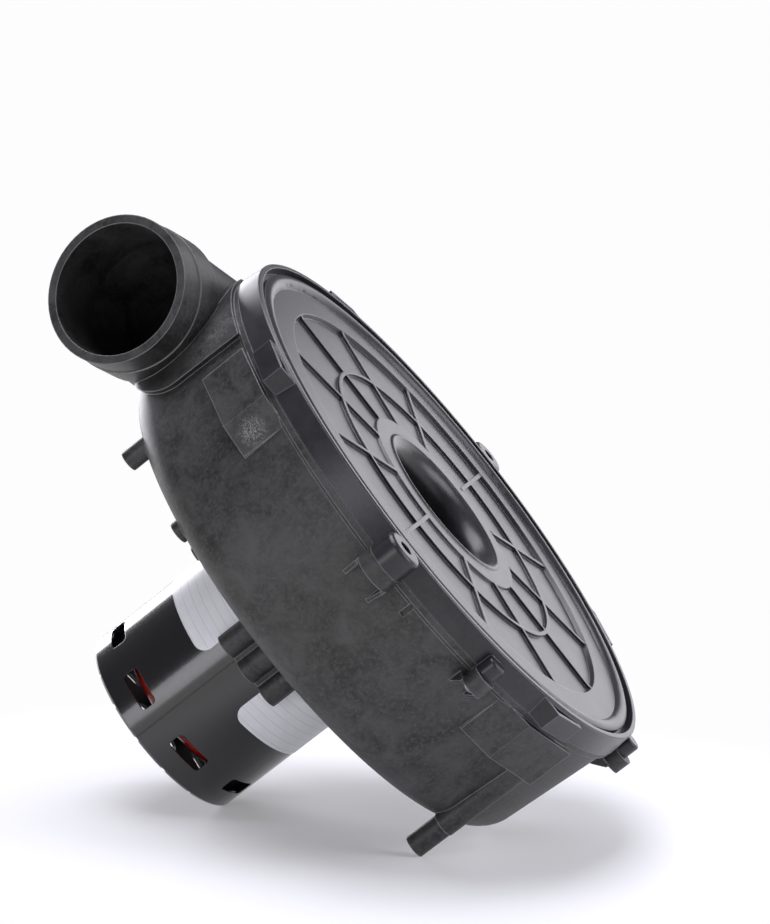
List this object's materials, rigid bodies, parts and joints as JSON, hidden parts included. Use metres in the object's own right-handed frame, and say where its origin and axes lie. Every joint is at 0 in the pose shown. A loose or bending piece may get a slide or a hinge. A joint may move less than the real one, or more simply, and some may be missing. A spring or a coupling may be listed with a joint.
{
  "type": "furnace combustion fan",
  "caption": "Round moulded draft blower with a ribbed inlet cover, a side outlet spigot, a swept-blade wheel and a rolled-shell motor standing behind it.",
  "frame": {"origin": "on the shaft axis, in the plane of the cover's outer lip and of the mounting bosses' faces", "axes": "+Z along the shaft out of the inlet, -Y out of the outlet spigot, +X away from the outlet's side"},
  "size_m": [0.2619, 0.2493, 0.1528],
  "materials": {
    "housing_plastic": "dark grey glass-filled moulding, satin and slightly clouded",
    "cover_plastic": "dark grey glass-filled moulding, satin",
    "impeller_plastic": "black glass-filled moulding",
    "cage_plastic": "moulded nylon",
    "seal_rubber": "matt black rubber",
    "gasket_fibre": "pressed insulating fibre",
    "motor_paint": "gloss black paint on rolled steel",
    "plated_steel": "zinc-plated pressed steel",
    "screw_steel": "zinc-plated steel",
    "spring_steel": "blackened spring steel",
    "ground_steel": "ground steel",
    "bearing_steel": "polished bearing steel",
    "lamination_steel": "stacked electrical steel",
    "cast_aluminium": "die-cast aluminium",
    "enamelled_wire": "red enamelled copper wire, varnished",
    "label_white": "white film, bare"
  },
  "bodies": {
    "housing": {"volute_housing": "housing_plastic", "inlet_cover": "cover_plastic", "cover_gasket": "seal_rubber", "cover_screws": "screw_steel", "motor_gasket": "gasket_fibre", "motor_mount_grommets": "seal_rubber", "motor_mount_screws": "screw_steel", "shaft_seal": "seal_rubber", "motor_shell": "motor_paint", "motor_front_end": "plated_steel", "motor_rear_end": "motor_paint", "lead_grommet": "seal_rubber", "motor_label_rating": "label_white", "motor_label_wiring": "label_white", "stator_core": "lamination_steel", "stator_winding": "enamelled_wire", "motor_through_bolts": "screw_steel", "front_bearing_outer_ring": "bearing_steel", "rear_bearing_outer_ring": "bearing_steel"},
    "rotor": {"shaft": "ground_steel", "rotor_core": "lamination_steel", "rotor_cage": "cast_aluminium", "heat_slinger": "cast_aluminium", "impeller": "impeller_plastic", "impeller_hub": "cast_aluminium", "impeller_clip": "spring_steel", "front_bearing_inner_ring": "bearing_steel", "rear_bearing_inner_ring": "bearing_steel"},
    "front_ball_train": {"front_bearing_balls": "bearing_steel", "front_bearing_cage": "cage_plastic"},
    "rear_ball_train": {"rear_bearing_balls": "bearing_steel", "rear_bearing_cage": "cage_plastic"}
  },
  "joints": [
    {"name": "rotor_spin", "type": "hinge", "parent": "housing", "child": "rotor", "pos_m": [0, 0, -0.0845], "axis": [0, 0, 1], "continuous": true},
    {"name": "front_cage_spin", "type": "hinge", "parent": "housing", "child": "front_ball_train", "pos_m": [0, 0, -0.0845], "axis": [0, 0, 1], "continuous": true},
    {"name": "rear_cage_spin", "type": "hinge", "parent": "housing", "child": "rear_ball_train", "pos_m": [0, 0, -0.147], "axis": [0, 0, 1], "continuous": true}
  ],
  "couplings": [
    {"joint": "front_cage_spin", "follows": "rotor_spin", "ratio": 0.3767},
    {"joint": "rear_cage_spin", "follows": "rotor_spin", "ratio": 0.3767}
  ]
}
